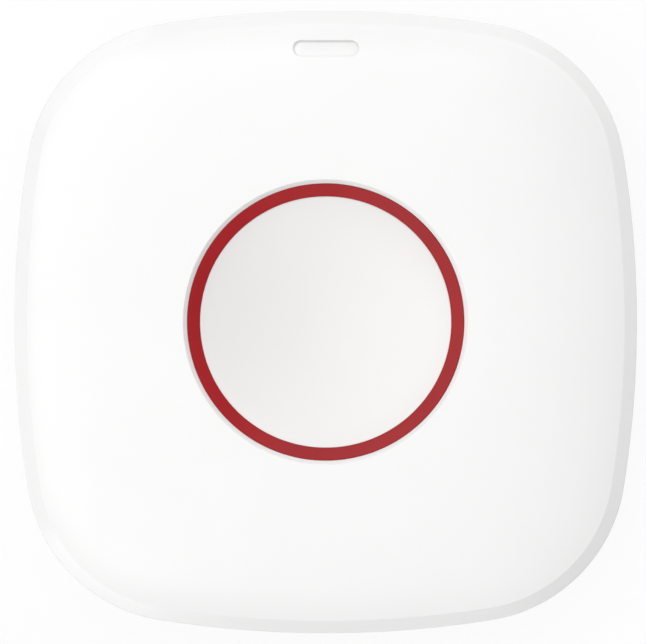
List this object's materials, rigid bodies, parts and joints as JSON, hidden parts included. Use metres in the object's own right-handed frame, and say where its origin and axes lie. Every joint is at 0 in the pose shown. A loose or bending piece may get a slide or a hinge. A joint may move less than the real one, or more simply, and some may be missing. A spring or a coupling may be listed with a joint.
{
  "type": "wireless panic button",
  "caption": "Square cushion-shaped wireless panic button with a dished push cap, a red trim ring, a status light window and a slide-on wall bracket.",
  "frame": {"origin": "middle of the wall bracket's back, on the wall plane", "axes": "+Z out of the button's face, +Y towards the status light, which is up on a wall, +X to the right seen from the front"},
  "size_m": [0.065, 0.065, 0.0182],
  "materials": {
    "case_white": "smooth white moulded plastic, semi-gloss",
    "cap_white": "smooth white moulded plastic, semi-gloss",
    "ring_red": "deep red moulded plastic",
    "window_milky": "milky translucent plastic",
    "back_white": "fine matt white moulded plastic",
    "seal_black": "black silicone rubber",
    "board_green": "green solder mask on glass-fibre laminate",
    "black_plastic": "black engineering plastic",
    "stem_plastic": "natural plastic",
    "cell_metal": "nickel-plated can",
    "contact_metal": "plated spring bronze",
    "steel": "zinc-plated steel",
    "shield_metal": "tin-plated sheet",
    "copper": "enamelled copper wire",
    "led_body": "moulded lamp body with a phosphor face"
  },
  "bodies": {
    "wall_bracket": {"wall_bracket": "back_white"},
    "housing": {"front_cover": "case_white", "rear_cover": "back_white", "status_window": "window_milky", "coin_cell": "cell_metal", "battery_contact_positive": "contact_metal", "battery_contact_negative": "contact_metal", "circuit_board": "board_green", "radio_shield": "shield_metal", "microcontroller": "black_plastic", "crystal": "shield_metal", "status_led": "led_body", "antenna_coil": "copper", "tact_switch_base": "black_plastic", "pairing_switch_base": "black_plastic", "button_spring": "steel", "case_screw_1": "steel", "case_screw_2": "steel", "case_screw_3": "steel", "case_screw_4": "steel", "board_screw_1": "steel", "board_screw_2": "steel"},
    "button": {"button_cap": "cap_white", "button_ring": "ring_red"},
    "switch_stem": {"tact_switch_stem": "stem_plastic"},
    "battery_door": {"battery_door": "back_white", "battery_door_seal": "seal_black"},
    "pairing_stem": {"pairing_switch_stem": "stem_plastic"}
  },
  "joints": [
    {"name": "casing_slide", "type": "slide", "parent": "wall_bracket", "child": "housing", "axis": [0, 1, 0], "range_m": [0, 0.0035]},
    {"name": "button_press", "type": "slide", "parent": "housing", "child": "button", "axis": [0, 0, -1], "range_m": [0, 0.0008], "stiffness_N_per_m": 1000, "springref_m": -0.0002, "deforming": ["button_spring"]},
    {"name": "switch_press", "type": "slide", "parent": "housing", "child": "switch_stem", "axis": [0, 0, -1], "range_m": [0, 0.0008]},
    {"name": "door_turn", "type": "hinge", "parent": "housing", "child": "battery_door", "pos_m": [0, 0, 0.0023], "axis": [0, 0, -1], "range_deg": [0, 45]},
    {"name": "pairing_press", "type": "slide", "parent": "housing", "child": "pairing_stem", "axis": [0, 0, 1], "range_m": [0, 0.00025], "stiffness_N_per_m": 200}
  ],
  "couplings": [
    {"joint": "switch_press", "follows": "button_press", "ratio": 1}
  ]
}
